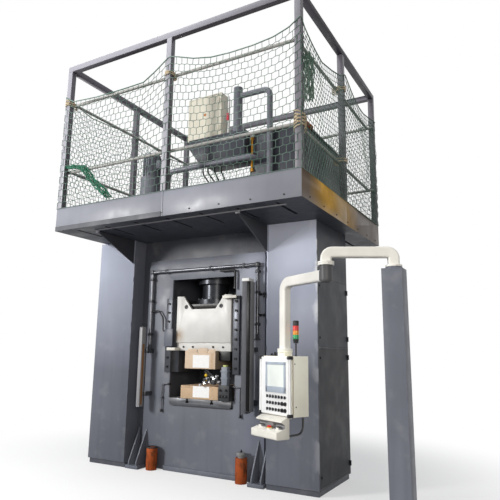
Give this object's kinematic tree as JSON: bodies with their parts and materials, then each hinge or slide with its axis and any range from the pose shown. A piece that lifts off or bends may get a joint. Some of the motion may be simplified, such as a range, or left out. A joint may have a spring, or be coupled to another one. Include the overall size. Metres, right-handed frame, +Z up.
{
  "type": "hydraulic forging press",
  "caption": "Two-column hydraulic forging press with a sliding ram, netted roof platform carrying its power unit, and a swing-arm control pendant on a floor stand.",
  "frame": {"origin": "on the floor, on the ram's axis, at the underside of the press frame", "axes": "+Z up along the ram's travel, -Y towards the operator in front, +X to the operator's right"},
  "size_m": [4.895, 3.0783, 5.722],
  "materials": {
    "body_paint": "satin slate-grey machine paint",
    "fascia_paint": "satin light grey paint",
    "cage_paint": "satin dark grey paint on tube",
    "ram_paint": "cream paint with oil stains",
    "machined_steel": "ground and machined steel",
    "dark_steel": "oiled dark steel",
    "pipe_chrome": "glossy dark plated pipe",
    "black_screw": "black oxide screws",
    "cardboard": "brown packing board",
    "rust_paint": "rusty orange paint",
    "grey_paint": "grey enamel",
    "net_cord": "knotted green net cord",
    "cabinet_paint": "pale beige enamel",
    "pendant_white": "white powder coat",
    "pendant_beige": "cream beige powder coat",
    "black_plastic": "moulded black plastic",
    "screen_grey": "grey bezel with a pale screen",
    "beacon_lens": "coloured lens rings",
    "stop_red": "red plastic",
    "conduit_rubber": "black flexible conduit",
    "gauge_yellow": "amber gauge tube"
  },
  "bodies": {
    "press_frame": {"press_body": "body_paint", "front_plate": "body_paint", "left_column": "body_paint", "right_column": "body_paint", "left_foot": "body_paint", "right_foot": "body_paint", "left_jack_body": "rust_paint", "right_jack_body": "rust_paint", "main_cylinder": "dark_steel", "lower_die_carton": "cardboard", "left_gib": "dark_steel", "right_gib": "dark_steel", "gib_bolts": "black_screw", "bolster": "dark_steel", "die_sprayer": "grey_paint", "pipe_loop": "pipe_chrome", "pipe_clamps": "dark_steel", "oil_pipes": "pipe_chrome", "left_light_post": "grey_paint", "right_light_post": "grey_paint", "rear_guard": "body_paint", "platform_deck": "body_paint", "fascia_panels": "fascia_paint", "fascia_bolts": "machined_steel", "cage_posts": "cage_paint", "cage_top_rails": "cage_paint", "guard_rails": "cage_paint", "front_net": "net_cord", "right_net": "net_cord", "rear_net": "net_cord", "left_net": "net_cord", "oil_tank": "dark_steel", "valve_manifold": "dark_steel", "suction_pipe": "grey_paint", "return_pipe": "grey_paint", "level_gauge": "gauge_yellow", "pump_motor": "grey_paint", "control_cabinet": "cabinet_paint", "stand_post": "body_paint"},
    "ram": {"ram": "ram_paint", "piston_rod": "machined_steel", "upper_die_carton": "cardboard", "ram_brackets": "machined_steel"},
    "jack_plunger": {"right_jack_plunger": "machined_steel"},
    "upper_door": {"right_upper_door": "body_paint"},
    "lower_door": {"right_lower_door": "body_paint"},
    "cabinet_door_leaf": {"cabinet_door": "cabinet_paint"},
    "inner_arm": {"swing_arm_inner": "pendant_white"},
    "outer_arm": {"swing_arm_outer": "pendant_white"},
    "pendant": {"pendant_box": "pendant_beige", "pendant_panel": "pendant_white", "pendant_handles": "pendant_white", "touch_screen": "screen_grey", "stack_light": "beacon_lens", "two_hand_console": "pendant_white", "pendant_conduit": "conduit_rubber"},
    "left_start": {"left_start_button": "black_plastic"},
    "right_start": {"right_start_button": "black_plastic"},
    "estop": {"estop_button": "stop_red"}
  },
  "joints": [
    {"name": "ram_slide", "type": "slide", "parent": "press_frame", "child": "ram", "axis": [0, 0, 1], "range_m": [-0.2, 0.085]},
    {"name": "jack_slide", "type": "slide", "parent": "press_frame", "child": "jack_plunger", "axis": [0, 0, 1], "range_m": [-0.029, 0.1]},
    {"name": "upper_door_hinge", "type": "hinge", "parent": "press_frame", "child": "upper_door", "pos_m": [1.811, 0.51, 0], "axis": [0, 0, 1], "range_deg": [0, 110]},
    {"name": "lower_door_hinge", "type": "hinge", "parent": "press_frame", "child": "lower_door", "pos_m": [1.811, 0.51, 0], "axis": [0, 0, 1], "range_deg": [0, 110]},
    {"name": "cabinet_door_hinge", "type": "hinge", "parent": "press_frame", "child": "cabinet_door_leaf", "pos_m": [0.628, -1.011, 0], "axis": [0, 0, 1], "range_deg": [0, 110]},
    {"name": "inner_arm_swivel", "type": "hinge", "parent": "press_frame", "child": "inner_arm", "pos_m": [2.895, -1.262, 2.44], "axis": [0, 0, 1], "range_deg": [-8, 100]},
    {"name": "outer_arm_swivel", "type": "hinge", "parent": "inner_arm", "child": "outer_arm", "pos_m": [2.29528, -1.54934, 2.475], "axis": [0, 0, 1], "range_deg": [-60, 90]},
    {"name": "pendant_swivel", "type": "hinge", "parent": "outer_arm", "child": "pendant", "pos_m": [1.66952, -1.17926, 1.62], "axis": [0, 0, 1], "range_deg": [-80, 80]},
    {"name": "left_start_press", "type": "slide", "parent": "pendant", "child": "left_start", "axis": [0, 0, -1], "range_m": [0, 0.006], "stiffness_N_per_m": 1500, "springref_m": -0.004},
    {"name": "right_start_press", "type": "slide", "parent": "pendant", "child": "right_start", "axis": [0, 0, -1], "range_m": [0, 0.006], "stiffness_N_per_m": 1500, "springref_m": -0.004},
    {"name": "estop_press", "type": "slide", "parent": "pendant", "child": "estop", "axis": [0, 0, -1], "range_m": [0, 0.005], "stiffness_N_per_m": 1500, "springref_m": -0.004}
  ]
}
